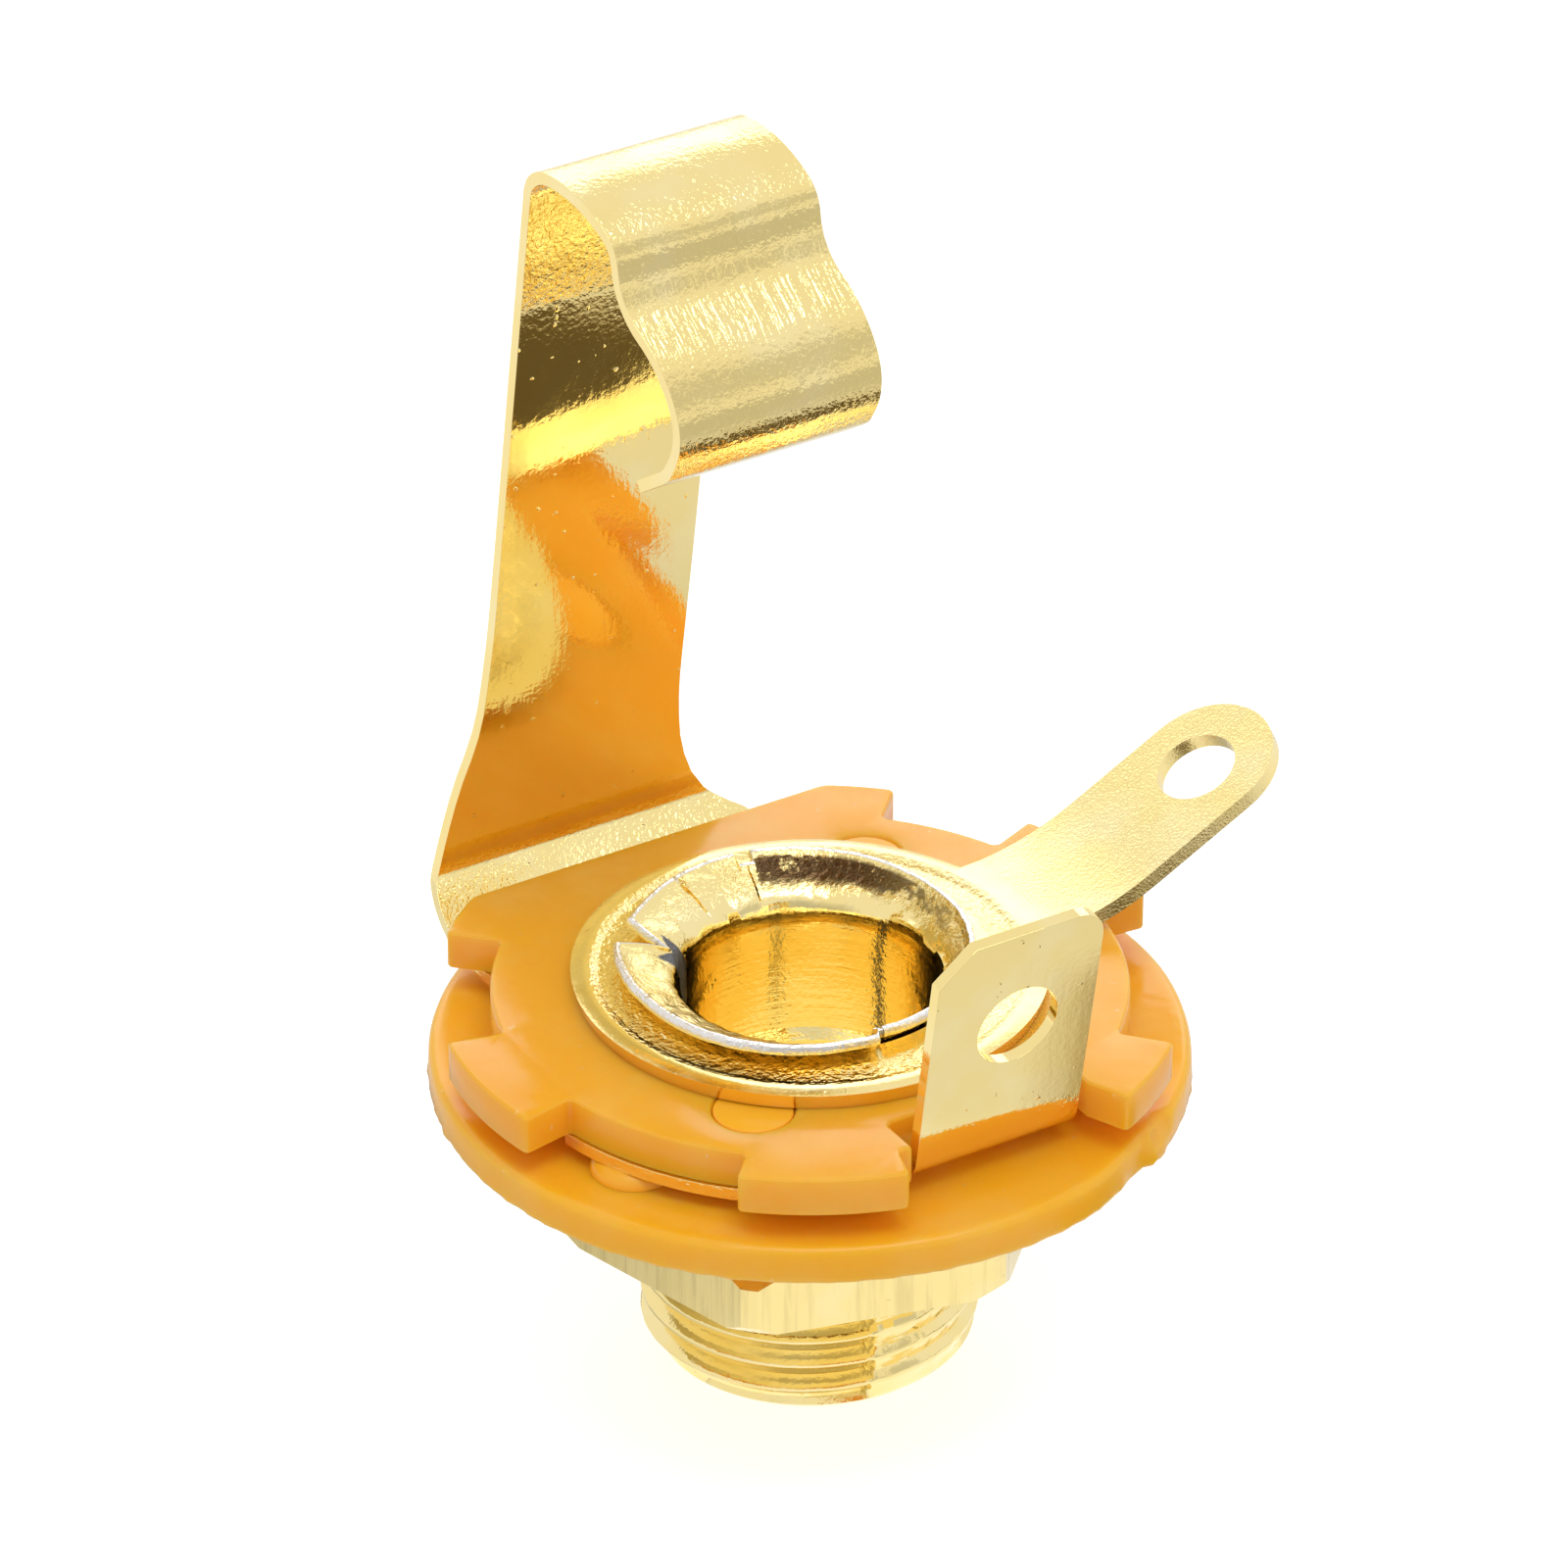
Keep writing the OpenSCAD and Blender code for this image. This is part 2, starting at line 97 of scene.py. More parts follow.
def smooth_table(table, at):
    """A smooth curve through (position, value) pairs that rise in position."""
    if at <= table[0][0]:
        return table[0][1]
    if at >= table[-1][0]:
        return table[-1][1]
    i = max(k for k in range(len(table) - 1) if table[k][0] <= at)
    (x0, y0), (x1, y1) = table[i], table[i + 1]
    before = table[max(0, i - 1)]
    after = table[min(len(table) - 1, i + 2)]
    slope0 = (y1 - before[1]) / (x1 - before[0])
    slope1 = (after[1] - y0) / (after[0] - x0)
    t = (at - x0) / (x1 - x0)
    w = x1 - x0
    return ((2 * t**3 - 3 * t**2 + 1) * y0 + (t**3 - 2 * t**2 + t) * w * slope0
            + (3 * t**2 - 2 * t**3) * y1 + (t**3 - t**2) * w * slope1)


def line_of(bm, points, closed=False):
    """A string of joined vertices; returns its edges."""
    verts = [bm.verts.new(p) for p in points]
    pairs = list(zip(verts, verts[1:]))
    if closed:
        pairs.append((verts[-1], verts[0]))
    return [bm.edges.new(pair) for pair in pairs]


def turn_on_lathe(bm, section, steps=240, centre=(0, 0)):
    """Spins a closed or pole-ended section, given as (radius, height) pairs, about an upright axis."""
    cx, cy = centre
    edges = line_of(bm, [(cx + r, cy, z) for r, z in section])
    verts = {v for e in edges for v in e.verts}
    made = bmesh.ops.spin(bm, geom=list(verts) + edges, cent=(cx, cy, 0), axis=(0, 0, 1),
                          angle=math.tau, steps=steps, use_merge=True)
    bmesh.ops.remove_doubles(bm, verts=bm.verts, dist=1e-4)
    return made


def carry_ring(bm, ring, radius, height):
    """Draws a ring of edges on to a new radius and height; each may depend on the direction in degrees."""
    made = bmesh.ops.extrude_edge_only(bm, edges=ring)["geom"]
    verts = {g for g in made if isinstance(g, bmesh.types.BMVert)}
    for v in verts:
        turn = polar(v.co)[1]
        r = radius(turn) if callable(radius) else radius
        z = height(turn) if callable(height) else height
        v.co = spot(r, turn, z)
    return [g for g in made if isinstance(g, bmesh.types.BMEdge)
            and g.verts[0] in verts and g.verts[1] in verts]


def open_ring_at(bm, height):
    return [e for e in bm.edges if e.is_boundary and all(abs(v.co.z - height) < 1e-4 for v in e.verts)]


def cut_column(bm, turn):
    """Adds a line of vertices straight up the piece in one direction from the axis."""
    a = math.radians(turn)
    bmesh.ops.bisect_plane(bm, geom=bm.verts[:] + bm.edges[:] + bm.faces[:], dist=1e-5,
                           plane_co=(0, 0, 0), plane_no=(-math.sin(a), math.cos(a), 0))


def fill_sheet(bm, edges):
    """Fills a flat outline, with the holes inside it."""
    return [f for f in bmesh.ops.triangle_fill(bm, edges=edges, use_beauty=True)["geom"]
            if isinstance(f, bmesh.types.BMFace)]


def ring_of(bm, centre, radius, steps, frame_matrix=None):
    """A round hole's edge in the plane of frame_matrix, or level where there is none."""
    matrix = Matrix.Translation(centre) @ (frame_matrix or Matrix.Identity(4))
    verts = bmesh.ops.create_circle(bm, segments=steps, radius=radius, matrix=matrix)["verts"]
    return list({e for v in verts for e in v.link_edges})


def finish_piece(bm, name, material, node, body="socket", crease=32):
    bmesh.ops.remove_doubles(bm, verts=bm.verts, dist=1e-5)
    bmesh.ops.dissolve_degenerate(bm, edges=bm.edges, dist=1e-5)
    bmesh.ops.recalc_face_normals(bm, faces=bm.faces)
    bmesh.ops.scale(bm, vec=(MM, MM, MM), verts=bm.verts)
    mesh = bpy.data.meshes.new(name)
    bm.to_mesh(mesh)
    bm.free()
    mesh.materials.append(material)
    mesh.shade_smooth()
    mesh.set_sharp_from_angle(angle=math.radians(crease))
    piece = bpy.data.objects.new(name, mesh)
    scene.collection.objects.link(piece)
    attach(piece, body)
    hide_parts(node)
    return piece


def give_thickness(piece, thickness):
    thick = piece.modifiers.new("sheet thickness", "SOLIDIFY")
    thick.thickness = thickness * MM
    thick.offset = 0
    thick.use_even_offset = True
    return thick


def round_edges(piece, width, segments=2, angle=40):
    edge = piece.modifiers.new("rounded edges", "BEVEL")
    edge.width = width * MM
    edge.segments = segments
    edge.limit_method = "ANGLE"
    edge.angle_limit = math.radians(angle)
    edge.harden_normals = True
    return edge


# Materials


class Nodes:
    """Short calls for building a node material."""

    def __init__(self, material):
        material.use_nodes = True
        self.tree = material.node_tree
        self.shader = self.tree.nodes["Principled BSDF"]
        self.place = self.add("ShaderNodeTexCoord").outputs["Object"]

    def add(self, kind, **settings):
        node = self.tree.nodes.new(kind)
        for key, value in settings.items():
            setattr(node, key, value)
        return node

    def join(self, source, socket):
        self.tree.links.new(source, socket)

    def put(self, value, socket):
        if isinstance(value, bpy.types.NodeSocket):
            self.join(value, socket)
        else:
            socket.default_value = value

    def math(self, operation, a, b=0.0, c=0.0, clamp=False):
        node = self.add("ShaderNodeMath", operation=operation, use_clamp=clamp)
        for value, socket in zip((a, b, c), node.inputs):
            self.put(value, socket)
        return node.outputs[0]

    def stretched(self, scale, shift=(0, 0, 0)):
        """The object's place, scaled separately along X, Y and Z."""
        node = self.add("ShaderNodeMapping")
        self.join(self.place, node.inputs["Vector"])
        node.inputs["Scale"].default_value = scale
        node.inputs["Location"].default_value = shift
        return node.outputs[0]

    def grains(self, per_mm, detail=2.0, rough=0.5, place=None):
        node = self.add("ShaderNodeTexNoise")
        self.join(place or self.place, node.inputs["Vector"])
        node.inputs["Scale"].default_value = per_mm / MM if place is None else per_mm
        node.inputs["Detail"].default_value = detail
        node.inputs["Roughness"].default_value = rough
        return node.outputs["Fac"]

    def band(self, value, low, high, ease):
        """1 where value lies between low and high, fading over ease outside."""
        up = self.ramp(value, low - ease, low)
        down = self.ramp(value, high + ease, high)
        return self.math("MULTIPLY", up, down)

    def ramp(self, value, start, end, to_min=0.0, to_max=1.0):
        node = self.add("ShaderNodeMapRange", interpolation_type="SMOOTHSTEP")
        self.join(value, node.inputs["Value"])
        node.inputs["From Min"].default_value = start
        node.inputs["From Max"].default_value = end
        node.inputs["To Min"].default_value = to_min
        node.inputs["To Max"].default_value = to_max
        return node.outputs["Result"]

    def mix(self, factor, a, b):
        node = self.add("ShaderNodeMix", data_type="RGBA")
        self.put(factor, node.inputs["Factor"])
        self.put(a, node.inputs["A"])
        self.put(b, node.inputs["B"])
        return node.outputs["Result"]

    def axes(self):
        node = self.add("ShaderNodeSeparateXYZ")
        self.join(self.place, node.inputs[0])
        return node.outputs[0], node.outputs[1], node.outputs[2]

    def from_axis(self):
        """Distance from the bore's axis."""
        x, y, _ = self.axes()
        return self.math("SQRT", self.math("ADD", self.math("MULTIPLY", x, x), self.math("MULTIPLY", y, y)))

    def bump(self, height, depth, normal=None, strength=1.0):
        node = self.add("ShaderNodeBump")
        node.inputs["Strength"].default_value = strength
        node.inputs["Distance"].default_value = depth * MM
        self.join(height, node.inputs["Height"])
        if normal is not None:
            self.join(normal, node.inputs["Normal"])
        return node.outputs[0]

    def leaned(self, leans):
        """The surface's direction, leaned a little: each pair gives a mask and how the side facing -Y turns."""
        own = self.add("ShaderNodeTexCoord").outputs["Normal"]
        split = self.add("ShaderNodeSeparateXYZ")
        self.join(own, split.inputs[0])
        facing = self.math("MULTIPLY", split.outputs[1], -1)
        for mask, (x, z) in leans:
            amount = self.math("MULTIPLY", mask, facing)
            change = self.add("ShaderNodeCombineXYZ")
            self.join(self.math("MULTIPLY", amount, x), change.inputs[0])
            self.join(self.math("MULTIPLY", amount, z), change.inputs[2])
            total = self.add("ShaderNodeVectorMath", operation="ADD")
            self.join(own, total.inputs[0])
            self.join(change.outputs[0], total.inputs[1])
            own = total.outputs[0]
        length = self.add("ShaderNodeVectorMath", operation="NORMALIZE")
        self.join(own, length.inputs[0])
        world = self.add("ShaderNodeVectorTransform", vector_type="NORMAL", convert_from="OBJECT", convert_to="WORLD")
        self.join(length.outputs[0], world.inputs[0])
        return world.outputs[0]

    def about_zero(self, value):
        return self.math("SUBTRACT", value, 0.5)

    def attribute(self, name):
        return self.add("ShaderNodeAttribute", attribute_name=name).outputs["Fac"]


GOLD = (0.95, 0.76, 0.32, 1)
PALE_GOLD = (0.96, 0.81, 0.42, 1)
WORN_METAL = (0.82, 0.80, 0.78, 1)
# near-black grey for the foot of the tear in the lip
NEAR_BLACK_GREY = (0.16, 0.16, 0.17, 1)
# painted dark reflection: the brown put into the back of the lip's funnel
PAINTED_REFLECTION_BROWN = (0.11, 0.065, 0.03, 1)
DISC_ORANGE = (1.0, 0.47, 0.018, 1)
WAFER_ORANGE = (0.98, 0.42, 0.02, 1)
PALE_ORANGE = (1.0, 0.54, 0.10, 1)


def gold_plating(name, roughness=0.08):
    """Bright gold plating on brass, with slightly paler patches and roughness that varies; its fine orange-peel speckle
    and slow waves are added by plated_surface.
    """
    material = bpy.data.materials.new(name)
    n = Nodes(material)
    patches = n.ramp(n.grains(0.45, 3), 0.4, 0.8)
    n.join(n.mix(patches, GOLD, PALE_GOLD), n.shader.inputs["Base Color"])
    n.shader.inputs["Metallic"].default_value = 1
    n.join(n.ramp(n.grains(1.3, 4), 0.3, 0.75, roughness * 0.7, roughness * 1.6), n.shader.inputs["Roughness"])
    return material, n


def plated_surface(n, speckle, normal=None):
    """Waves, orange peel and a few tiny pits; speckle may vary over the piece."""
    def scaled(height):
        return n.math("MULTIPLY", n.about_zero(height), speckle)

    waves = n.bump(scaled(n.grains(0.55, 1.0)), 0.02, normal)
    peel = n.bump(scaled(n.grains(6.5, 2.5, 0.55)), 0.010, waves)
    pits = n.ramp(n.grains(3.3, 1.0), 0.73, 0.80)
    return n.bump(pits, 0.008, peel)


def bushing_gold():
    material, n = gold_plating("bushing gold")
    worn = n.attribute("worn")
    dark_rough_tear_foot = n.attribute("dark_rough_tear_foot")
    colour = n.shader.inputs["Base Color"].links[0].from_socket
    colour = n.mix(n.ramp(worn, 0.3, 0.8), colour, WORN_METAL)
    # painted dark reflection: the back of the funnel is made patchy brown, standing in for the dim room it mirrors
    painted_reflection_patches = n.ramp(n.math("ADD", n.grains(1.1, 6, 0.7), n.math("MULTIPLY", n.attribute("painted_dark_reflection"), 0.25)),
                      0.60, 0.70)
    colour = n.mix(n.math("MULTIPLY", n.attribute("painted_dark_reflection"), painted_reflection_patches), colour, PAINTED_REFLECTION_BROWN)
    # near-black grey, rougher and crumpled at the foot of the tear in the lip
    colour = n.mix(n.ramp(dark_rough_tear_foot, 0.3, 0.7), colour, NEAR_BLACK_GREY)
    n.join(colour, n.shader.inputs["Base Color"])
    rough = n.shader.inputs["Roughness"].links[0].from_socket
    rough = n.math("ADD", rough, n.math("MULTIPLY", worn, 0.16))
    rough = n.math("ADD", rough, n.math("MULTIPLY", dark_rough_tear_foot, 0.4), clamp=True)
    n.join(rough, n.shader.inputs["Roughness"])
    normal = plated_surface(n, 0.8)
    # faint rings left in the bore by the tool
    _, _, z = n.axes()
    rings = n.about_zero(n.grains(1.0, 2, place=n.stretched((500, 500, 9000))))
    inside = n.band(n.from_axis(), 0, 3.45 * MM, 0.05 * MM)
    normal = n.bump(n.math("MULTIPLY", rings, inside), 0.006, normal)
    lip = n.ramp(z, 10.9 * MM, 11.3 * MM)
    crumple = n.about_zero(n.grains(5.0, 3, 0.6))
    normal = n.bump(n.math("MULTIPLY", crumple, n.math("ADD", lip, dark_rough_tear_foot)), 0.05, normal)
    n.join(normal, n.shader.inputs["Normal"])
    return material


def nut_gold():
    material, n = gold_plating("nut gold", 0.12)
    normal = plated_surface(n, 0.5)
    streaks = n.grains(1.0, 3, 0.6, n.stretched((3600, 3600, 240)))
    normal = n.bump(n.about_zero(streaks), 0.02, normal)
    colour = n.shader.inputs["Base Color"].links[0].from_socket
    dulled = n.ramp(streaks, 0.45, 0.68, 0.0, 0.55)
    n.join(n.mix(dulled, colour, (0.70, 0.56, 0.24, 1)), n.shader.inputs["Base Color"])
    n.join(normal, n.shader.inputs["Normal"])
    return material


def contact_gold():
    material, n = gold_plating("contact gold", 0.05)
    _, y, z = n.axes()
    # the real arm and tab stand a few degrees off the straight solid, which shows only in what they mirror
    arm = n.math("MULTIPLY", n.band(z, 11.7 * MM, 27.5 * MM, 0.5 * MM), n.ramp(y, 7.9 * MM, 8.4 * MM))
    tab = n.math("MULTIPLY", n.ramp(z, 10.3 * MM, 10.8 * MM), n.ramp(y, -6.9 * MM, -7.2 * MM))
    foot = n.math("MULTIPLY", n.ramp(z, 11.3 * MM, 11.18 * MM), n.ramp(y, 8.0 * MM, 8.3 * MM))
    # the arm is bowed too, so that its upper end leans less
    bowed = n.math("MULTIPLY", arm, n.ramp(z, 22.5 * MM, 25.0 * MM, 1.0, 0.53))
    normal = n.leaned([(bowed, (0.165, -0.145)), (tab, (0.0, 0.15)), (foot, (0.0, 0.95))])
    flat = n.math("MAXIMUM", arm, tab)
    normal = plated_surface(n, n.math("SUBTRACT", 2.2, n.math("MULTIPLY", flat, 2.0)), normal)
    groove = n.math("MULTIPLY", n.band(z, 28.3 * MM, 29.8 * MM, 0.3 * MM), n.ramp(y, 5.6 * MM, 5.0 * MM))
    scratches = n.about_zero(n.grains(1.0, 2, 0.7, n.stretched((5200, 420, 420))))
    normal = n.bump(n.math("MULTIPLY", scratches, groove), 0.03, normal)
    slant = n.about_zero(n.grains(1.0, 3, 0.6, n.stretched((1800, 1800, 300))))
    normal = n.bump(slant, 0.003, normal)
    n.join(normal, n.shader.inputs["Normal"])
    return material


def lug_gold():
    material, n = gold_plating("lug gold", 0.16)
    normal = plated_surface(n, 0.5)
    away = n.from_axis()
    trough = n.band(away, 4.9 * MM, 5.72 * MM, 0.1 * MM)
    hammered = n.about_zero(n.grains(5.0, 2, 0.6))
    normal = n.bump(n.math("MULTIPLY", hammered, trough), 0.06, normal)
    matte = n.math("MULTIPLY", n.about_zero(n.grains(13.0, 2, 0.6)), n.ramp(away, 6.0 * MM, 7.0 * MM))
    normal = n.bump(matte, 0.012, normal)
    n.join(normal, n.shader.inputs["Normal"])
    return material


def orange_plastic(name, orange, seed):
    """Slightly translucent moulded plastic, paler where light gets through its edges."""
    material = bpy.data.materials.new(name)
    n = Nodes(material)
    cloud = n.grains(0.28, 2, place=None)
    drift = n.grains(1.0, 3, 0.55, n.stretched((420, 420, 420), (seed, 0, 0)))
    colour = n.mix(n.ramp(drift, 0.4, 0.75, 0.0, 0.4), orange, PALE_ORANGE)
    specks = n.ramp(n.grains(3.2, 1), 0.76, 0.80)
    colour = n.mix(n.math("MULTIPLY", specks, 0.3), colour, (1.0, 0.78, 0.45, 1))
    n.join(colour, n.shader.inputs["Base Color"])
    n.join(n.ramp(n.attribute("knob"), 0.0, 1.0, 0.6, 0.0), n.shader.inputs["Subsurface Weight"])
    n.shader.inputs["Subsurface Radius"].default_value = (1.0, 0.5, 0.06)
    n.shader.inputs["Subsurface Scale"].default_value = 1.3 * MM
    n.shader.inputs["IOR"].default_value = 1.5
    n.shader.inputs["Specular IOR Level"].default_value = 0.36
    n.join(n.ramp(cloud, 0.3, 0.7, 0.16, 0.27), n.shader.inputs["Roughness"])
    normal = n.bump(n.grains(0.8, 2), 0.03)
    normal = n.bump(n.grains(8, 2), 0.003, normal)
    n.join(normal, n.shader.inputs["Normal"])
    return material


# Bushing

# The lip's outer edge, as (direction in degrees, distance from the axis)
LIP_EDGE = [(-180, 4.97), (-154, 4.98), (-128, 4.9), (-110, 4.76), (-98.4, 4.66), (-97.9, 4.45), (-90, 4.42),
            (-60, 4.36), (-31, 4.33), (-10, 4.42), (16.7, 4.57), (40, 4.84), (57, 5.0), (76, 5.12), (98, 5.08),
            (115, 5.0), (131, 5.0), (146, 5.14), (162, 5.06), (180, 4.97)]
TEAR_FROM, TEAR_TO, TEAR_FOOT, TEAR_FOOT_R = 131.8, 146.3, 137.5, 3.93
BROKEN_OUT = (77.0, 82.4)
SPLIT = -97.0
# where the funnel of the lip turns down into the bore's mouth
FUNNEL_R = 3.62
# riveting has opened the upper part of the bore a little
MOUTH_R = 3.4


def lip_edge(turn):
    """How far out the lip's edge lies in one direction, and how far out it would lie unbroken."""
    whole = smooth_table(LIP_EDGE, turn) + 0.02 * noise.noise(Vector((turn * 0.22, 3.1, 0)))
    edge = whole
    if TEAR_FROM < turn < TEAR_TO:
        side = TEAR_FOOT - TEAR_FROM if turn < TEAR_FOOT else TEAR_TO - TEAR_FOOT
        edge = TEAR_FOOT_R + (whole - TEAR_FOOT_R) * abs(turn - TEAR_FOOT) / side
    if BROKEN_OUT[0] < turn < BROKEN_OUT[1]:
        edge = whole - 0.36
    if abs(turn - SPLIT) < 0.9:
        edge = whole - 0.3
    if abs(turn - 105) < 0.5:
        edge = whole - 0.12
    return edge, whole


def funnel_height(radius, whole):
    share = max(0.0, (radius - FUNNEL_R) / (whole - FUNNEL_R))
    return 11.1 + 0.68 * share**0.8


def model_bushing(material):
    bm = bmesh.new()
    steps = 240
    start = -0.9
    section = [(THREAD_ROOT_R, 0), (THREAD_ROOT_R + 0.02, 0.10), (THREAD_R - 0.05, 0.40), (THREAD_R, 0.46),
               (THREAD_R, 0.52), (THREAD_R - 0.05, 0.58), (THREAD_ROOT_R, PITCH)]
    edges = line_of(bm, [(r, 0, start + z) for r, z in section])
    verts = {v for e in edges for v in e.verts}
    bmesh.ops.spin(bm, geom=list(verts) + edges, cent=(0, 0, 0), axis=(0, 0, 1), dvec=(0, 0, PITCH / steps),
                   angle=math.tau * 9, steps=steps * 9, use_merge=False)
    bmesh.ops.remove_doubles(bm, verts=bm.verts, dist=1e-4)
    for height, direction in ((0, -1), (SHOULDER_Z, 1)):
        bmesh.ops.bisect_plane(bm, geom=bm.verts[:] + bm.edges[:] + bm.faces[:], dist=1e-5,
                               plane_co=(0, 0, height), plane_no=(0, 0, direction), clear_outer=True)
    for turn in (-101.8, -101.2, -100.6):
        cut_column(bm, turn)
    for turn in (TEAR_FROM, TEAR_FROM + 0.3, TEAR_FOOT, TEAR_TO - 0.3, TEAR_TO, BROKEN_OUT[0], BROKEN_OUT[0] + 0.2,
                 BROKEN_OUT[1] - 0.2, BROKEN_OUT[1], SPLIT - 1, SPLIT - 0.7, SPLIT + 0.7, SPLIT + 1,
                 104.4, 105, 105.6, 79.2, 79.6, 80.0):
        cut_column(bm, turn)
    for v in bm.verts:
        r, turn = polar(v.co)
        # the thread is pressed flat to the right of its seam
        flat = blend_between(-101.2, -98, turn) * blend_between(-38, -62, turn)
        r = THREAD_R - (THREAD_R - r) * (1 - 0.62 * flat)
        r -= 0.04 * math.exp(-((turn + 101.2) / 0.55) ** 2)
        r += 0.012 * noise.noise(v.co * 3.0) * (1 + 2 * flat)
        r = min(r, 4.03 + v.co.z)
        v.co = spot(r, turn, v.co.z)
    worn = bm.verts.layers.float.new("worn")
    dark_rough_tear_foot = bm.verts.layers.float.new("dark_rough_tear_foot")
    painted_dark_reflection = bm.verts.layers.float.new("painted_dark_reflection")

    foot = open_ring_at(bm, 0)
    ring = open_ring_at(bm, SHOULDER_Z)
    for r, z in ((5.8, 5.7), (5.94, 5.76), (6.0, 5.9), (6.0, 7.7), (5.94, 7.84), (5.8, 7.9),
                 (4.1, 7.9), (4.1, 11.05), (4.12, 11.21)):
        ring = carry_ring(bm, ring, r, z)

    def rim_height(turn):
        edge, whole = lip_edge(turn)
        return funnel_height(edge, whole) + 0.02 * noise.noise(Vector((turn * 0.15, 0, 7)))

    for share in (0.35, 0.7, 0.92, 1.0):
        def radius(turn, s=share):
            return 4.12 + s * (lip_edge(turn)[0] - 4.12)

        def height(turn, s=share):
            under = max(11.25, rim_height(turn) - 0.24)
            return 11.21 + (under - 11.21) * s**0.8
        ring = carry_ring(bm, ring, radius, height)
    for inward, drop, wear in ((0.0, 0.10, 1), (0.04, 0.03, 1), (0.10, 0.0, 1), (0.17, 0.01, 1), (0.21, 0.05, 0)):
        ring = carry_ring(bm, ring, lambda turn, i=inward: lip_edge(turn)[0] - i,
                          lambda turn, d=drop: rim_height(turn) - d)
        for v in {v for e in ring for v in e.verts}:
            v[worn] = wear
    for share in (0.9, 0.78, 0.66, 0.54, 0.42, 0.3, 0.2, 0.1, 0.0):
        def funnel_radius(turn, s=share):
            return FUNNEL_R + s * (lip_edge(turn)[0] - 0.21 - FUNNEL_R)

        def height(turn, s=share):
            r = funnel_radius(turn, s)
            here = spot(r, turn, 0)
            # the flap next to the tear is crumpled into facets, the rest of the funnel only rippled
            flap = blend_between(84, 100, turn) + blend_between(-150, -172, turn)
            facet = noise.cell(here * 1.15 + Vector((3.3, 1.2, 0))) * 0.6 + noise.noise(here * 1.4) * 0.6
            ripple = noise.noise(here * 2.3 + Vector((0, 0, 5)))
            z = funnel_height(r, lip_edge(turn)[1] - 0.1) - 0.05 + flap * 0.10 * facet + 0.045 * ripple * (1 - s * s)
            if abs(turn - 79.6) < 0.3 or abs(turn - 105) < 0.4:
                z -= 0.2 * min(1, 3 * s)
            return z

        ring = carry_ring(bm, ring, funnel_radius, height)
        for v in {v for e in ring for v in e.verts}:
            turn = polar(v.co)[1]
            # the foot of the tear, low in the funnel, is marked to be near-black grey, rougher and crumpled
            v[dark_rough_tear_foot] = (blend_between(0.55, 0.3, share) * blend_between(130, 133, turn)
                         * blend_between(147, 142, turn))
            # painted dark reflection: the back of the funnel is marked for brown, fading out towards the bore
            v[painted_dark_reflection] = (blend_between(-50, 45, turn) * blend_between(80, 76, turn)
                            * blend_between(0.05, 0.4, share))
    for r, z in ((3.52, 10.95), (MOUTH_R, 10.65), (MOUTH_R, 10.2), (MOUTH_R, 7.1), (BORE_R, 6.8)):
        ring = carry_ring(bm, ring, lambda turn, r=r, z=z: r + 0.05 * (z > 10.3) * noise.noise(spot(3, turn, r)),
                          lambda turn, z=z: z + 0.12 * (z > 10.3) * noise.noise(spot(2.2, turn, z)))
    for r, z in ((BORE_R, 4.0), (BORE_R, 0.3), (3.5, 0.0)):
        ring = carry_ring(bm, ring, r, z)
    bmesh.ops.bridge_loops(bm, edges=ring + foot)
    return finish_piece(bm, "threaded_bushing", material, "bushing")


# Nut


def model_nut(material):
    bm = bmesh.new()
    point_r = 6.798
    face_r = 6.56
    bottom, top = 4.0, 5.7

    def hexagon(turn):
        off = (turn + 30) % 60 - 30
        return min(point_r, 6.0 / math.cos(math.radians(30 - abs(off))))

    def turned_down(turn):
        return max(0.0, hexagon(turn) - face_r) * 1.1

    verts = bmesh.ops.create_circle(bm, segments=180, radius=4.85)["verts"]
    for v in verts:
        v.co.z = bottom
    ring = list({e for v in verts for e in v.link_edges})
    for radius, height in ((lambda t: min(face_r, hexagon(t)), bottom),
                           (hexagon, lambda t: bottom + turned_down(t)),
                           (hexagon, lambda t: top - turned_down(t)),
                           (lambda t: min(face_r, hexagon(t)), top),
                           (4.85, top), (4.55, top - 0.3), (4.55, bottom + 0.3), (4.85, bottom)):
        ring = carry_ring(bm, ring, radius, height)
    bmesh.ops.rotate(bm, verts=bm.verts, cent=(0, 0, 0), matrix=Matrix.Rotation(math.radians(-135), 3, "Z"))
    nut = finish_piece(bm, "hexagon_nut", material, "hex_nut", "nut", 20)
    round_edges(nut, 0.05, 2, 24)
    return nut


# Lower disc


def add_knob(bm, knob, turn, from_axis, radius, low, high, rounding):
    """A small round-topped peg, marked in the knob layer."""
    centre = spot(from_axis, turn, 0)
    before = set(bm.verts)
    section = [(0, high), (radius - rounding, high), (radius - rounding * 0.3, high - rounding * 0.3),
               (radius, high - rounding), (radius, low), (0, low)]
    turn_on_lathe(bm, section, 40, (centre.x, centre.y))
    for v in set(bm.verts) - before:
        v[knob] = 1.0


